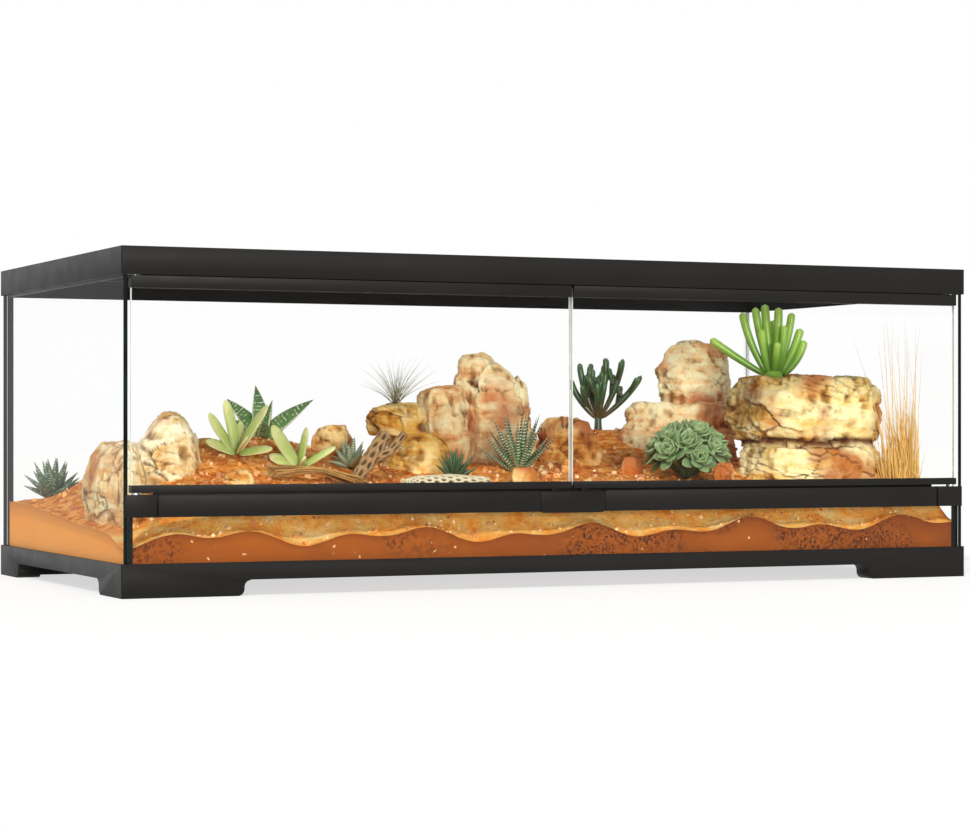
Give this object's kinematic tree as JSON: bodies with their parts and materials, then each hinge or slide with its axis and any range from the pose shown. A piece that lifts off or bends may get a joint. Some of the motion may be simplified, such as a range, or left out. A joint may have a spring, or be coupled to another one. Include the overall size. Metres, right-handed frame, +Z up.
{
  "type": "reptile terrarium",
  "caption": "Low front-opening glass terrarium with two swing doors, centre latch, screen lid and a planted desert landscape.",
  "frame": {"origin": "on the ground under the middle of the tank", "axes": "+X to the right, +Y to the back, +Z up; the doors face -Y"},
  "size_m": [0.915, 0.45, 0.322],
  "materials": {
    "black_plastic": "satin moulded black",
    "clear_glass": "clear float glass",
    "black_silicone": "black silicone bead",
    "steel": "drawn steel pin",
    "mesh_steel": "black coated woven wire",
    "orange_soil": "burnt orange clay with a sandy top",
    "cream_sandstone": "layered cream sandstone",
    "orange_sandstone": "rough orange sandstone",
    "pale_wood": "bleached perforated wood",
    "brown_wood": "fibrous cactus wood",
    "dry_straw": "dry grass",
    "green_leaf": "fleshy green leaf",
    "blue_green_leaf": "waxy blue-green leaf",
    "dark_green_leaf": "dark green leaf"
  },
  "bodies": {
    "tank": {"base_frame": "black_plastic", "floor_glass": "clear_glass", "left_glass": "clear_glass", "right_glass": "clear_glass", "back_glass": "clear_glass", "front_glass": "clear_glass", "corner_seals": "black_silicone", "floor_seal": "black_silicone", "sill_rail": "black_plastic", "sill_end_left": "black_plastic", "sill_end_right": "black_plastic", "sill_cover": "black_plastic", "latch_pin": "steel", "top_frame": "black_plastic", "soil_bed": "orange_soil", "rock_left_front": "cream_sandstone", "rock_left_tall": "cream_sandstone", "rock_orange_stack": "orange_sandstone", "rock_centre": "cream_sandstone", "rock_centre_right": "orange_sandstone", "rock_back_base": "cream_sandstone", "rock_back_tower": "cream_sandstone", "rock_right_slab": "cream_sandstone", "rock_right_block": "cream_sandstone", "loose_stones": "orange_sandstone", "perforated_wood": "pale_wood", "cholla_wood": "brown_wood", "straw_bundle": "dry_straw", "plant_left_rosette": "blue_green_leaf", "plant_strap_leaf": "green_leaf", "plant_tiger_aloe": "green_leaf", "plant_small_rosette": "dark_green_leaf", "plant_grey_rosette": "blue_green_leaf", "plant_zebra_rosette": "dark_green_leaf", "plant_dark_jade": "dark_green_leaf", "plant_echeveria": "blue_green_leaf", "plant_finger": "green_leaf", "grass_tuft": "dry_straw", "dry_grass": "dry_straw"},
    "left_door": {"left_door_glass": "clear_glass", "left_door_top_rail": "black_plastic", "left_door_bottom_rail": "black_plastic", "left_hinge_pins": "steel"},
    "right_door": {"right_door_glass": "clear_glass", "right_door_top_rail": "black_plastic", "right_door_bottom_rail": "black_plastic", "right_hinge_pins": "steel"},
    "latch": {"latch_handle": "black_plastic"},
    "lid": {"screen_frame": "black_plastic", "screen_mesh": "mesh_steel", "screen_retainer": "black_silicone"},
    "left_lock": {"left_screen_lock": "black_plastic"},
    "right_lock": {"right_screen_lock": "black_plastic"},
    "left_shutter": {"left_cable_shutter": "black_plastic"},
    "right_shutter": {"right_cable_shutter": "black_plastic"}
  },
  "joints": [
    {"name": "left_door_hinge", "type": "hinge", "parent": "tank", "child": "left_door", "pos_m": [-0.443, -0.219, 0], "axis": [0, 0, -1], "range_deg": [0, 110]},
    {"name": "right_door_hinge", "type": "hinge", "parent": "tank", "child": "right_door", "pos_m": [0.443, -0.219, 0], "axis": [0, 0, 1], "range_deg": [0, 110]},
    {"name": "latch_tilt", "type": "hinge", "parent": "tank", "child": "latch", "pos_m": [0, -0.2227, 0.092], "axis": [-1, 0, 0], "range_deg": [0, 35]},
    {"name": "lid_lift", "type": "slide", "parent": "tank", "child": "lid", "axis": [0, 0, 1], "range_m": [0, 0.08]},
    {"name": "left_lock_slide", "type": "slide", "parent": "lid", "child": "left_lock", "axis": [-1, 0, 0], "range_m": [0, 0.004]},
    {"name": "right_lock_slide", "type": "slide", "parent": "lid", "child": "right_lock", "axis": [1, 0, 0], "range_m": [0, 0.004]},
    {"name": "left_shutter_slide", "type": "slide", "parent": "tank", "child": "left_shutter", "axis": [-1, 0, 0], "range_m": [0, 0.0382]},
    {"name": "right_shutter_slide", "type": "slide", "parent": "tank", "child": "right_shutter", "axis": [1, 0, 0], "range_m": [0, 0.0382]}
  ]
}
